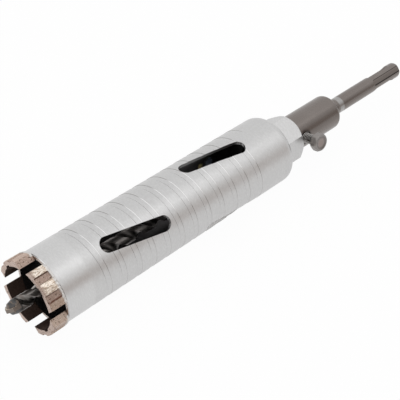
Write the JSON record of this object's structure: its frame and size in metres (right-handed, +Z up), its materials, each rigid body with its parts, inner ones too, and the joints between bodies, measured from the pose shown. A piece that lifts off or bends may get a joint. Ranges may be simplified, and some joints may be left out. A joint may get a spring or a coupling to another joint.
{
  "type": "diamond core bit",
  "caption": "Dry diamond core bit: slotted steel barrel with a segmented crown, hexagonal hub, grooved hammer-drill shank with a clamp bolt, and a central pilot drill.",
  "frame": {"origin": "on the axis of rotation, halfway along the plain guide length of the shank", "axes": "+X along the axis from the crown to the shank; +Z up, with the bit lying on its barrel and a gap of the crown at the bottom; -Y is the side with the clamp bolt's head"},
  "size_m": [0.3085, 0.0432, 0.0408],
  "materials": {
    "barrel_steel": "satin turned steel, nickel plated",
    "segment_bronze": "dull sintered bronze with diamond grit",
    "adapter_steel": "dull grey hardened steel",
    "drill_steel": "dark steam-tempered steel",
    "carbide": "ground grey carbide",
    "bolt_steel": "dull plated steel"
  },
  "bodies": {
    "root": {"barrel_tube": "barrel_steel", "rear_hub": "barrel_steel", "crown_segment_1": "segment_bronze", "crown_segment_2": "segment_bronze", "crown_segment_3": "segment_bronze", "crown_segment_4": "segment_bronze", "shank_adapter": "adapter_steel", "pilot_drill": "drill_steel", "carbide_tip": "carbide", "clamp_bolt": "bolt_steel"}
  },
  "joints": []
}
